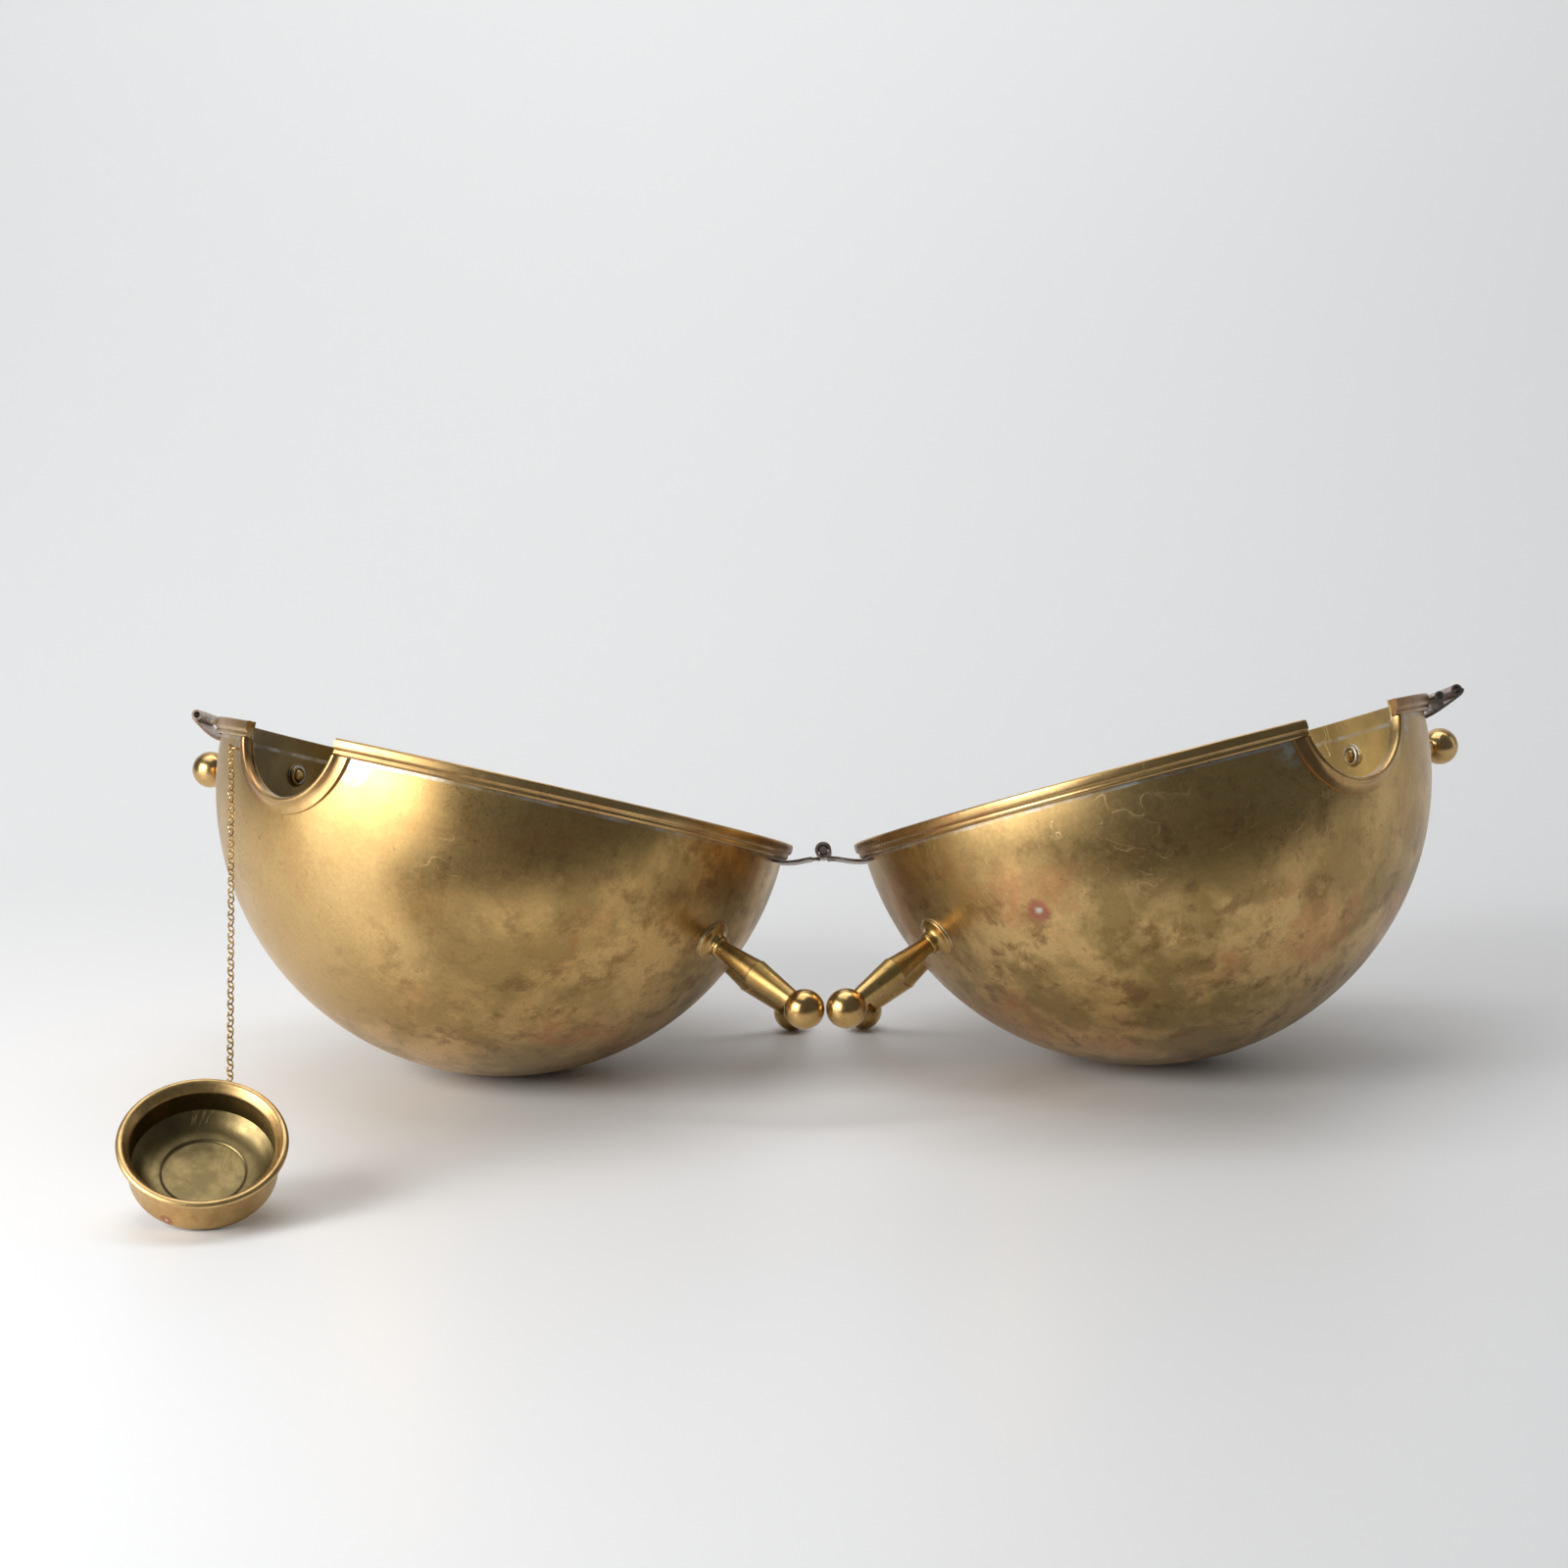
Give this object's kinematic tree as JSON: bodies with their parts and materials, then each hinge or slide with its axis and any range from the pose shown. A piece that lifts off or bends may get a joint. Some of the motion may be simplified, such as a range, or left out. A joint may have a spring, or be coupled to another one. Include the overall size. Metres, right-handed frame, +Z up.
{
  "type": "hinged brass ball vessel",
  "caption": "Hollow brass ball on turned ball-ended legs, split into hinged bowls that open flat, with a round necked mouth, a snap clasp and a stopper cup on a fine chain.",
  "frame": {"origin": "centre of the footprint on the floor, in the open pose, measured without the chain and the cup", "axes": "+X from the left bowl to the right bowl through both centres, +Y away from the viewer, away from the mouth and the cup, +Z up"},
  "size_m": [0.4384, 0.2822, 0.1249],
  "materials": {
    "bowl_brass": "aged, semi-gloss",
    "trim_brass": "aged, semi-gloss",
    "turned_brass": "aged, glossy on the balls",
    "leaf_brass": "dull, browned",
    "solder": "dull tin solder over brass",
    "cup_brass": "aged, semi-gloss",
    "chain_brass": "aged, semi-gloss"
  },
  "bodies": {
    "left_half": {"left_bowl": "bowl_brass", "left_rim_band": "trim_brass", "left_neck_ring": "trim_brass", "left_front_flange": "turned_brass", "left_front_leg": "turned_brass", "left_front_ball": "turned_brass", "left_front_rivet": "solder", "left_rear_flange": "turned_brass", "left_rear_leg": "turned_brass", "left_rear_ball": "turned_brass", "left_rear_rivet": "solder", "left_upper_flange": "turned_brass", "left_upper_leg": "turned_brass", "left_upper_ball": "turned_brass", "left_upper_rivet": "solder", "left_hinge_leaf": "leaf_brass", "left_clasp_leaf": "leaf_brass", "hinge_pin": "leaf_brass", "chain_staple": "chain_brass"},
    "right_half": {"right_bowl": "bowl_brass", "right_rim_band": "trim_brass", "right_neck_ring": "trim_brass", "right_front_flange": "turned_brass", "right_front_leg": "turned_brass", "right_front_ball": "turned_brass", "right_front_rivet": "solder", "right_rear_flange": "turned_brass", "right_rear_leg": "turned_brass", "right_rear_ball": "turned_brass", "right_rear_rivet": "solder", "right_upper_flange": "turned_brass", "right_upper_leg": "turned_brass", "right_upper_ball": "turned_brass", "right_upper_rivet": "solder", "right_hinge_leaf": "leaf_brass", "right_clasp_leaf": "leaf_brass"},
    "chain": {"stopper_chain": "chain_brass"},
    "cup": {"stopper_cup": "cup_brass", "cup_staple": "chain_brass"}
  },
  "joints": [
    {"name": "ball_hinge", "type": "hinge", "parent": "left_half", "child": "right_half", "pos_m": [0, -0.00498, 0.07113], "axis": [0, -0.9763, 0.2164], "range_deg": [0, 152.7]},
    {"name": "chain_swing", "type": "hinge", "parent": "left_half", "child": "chain", "pos_m": [-0.18398, -0.04559, 0.11555], "axis": [-1, 0, 0], "range_deg": [0, 60]},
    {"name": "cup_tilt", "type": "hinge", "parent": "chain", "child": "cup", "pos_m": [-0.17147, -0.14569, 0.03038], "axis": [-1, 0, 0], "range_deg": [0, 35]}
  ]
}
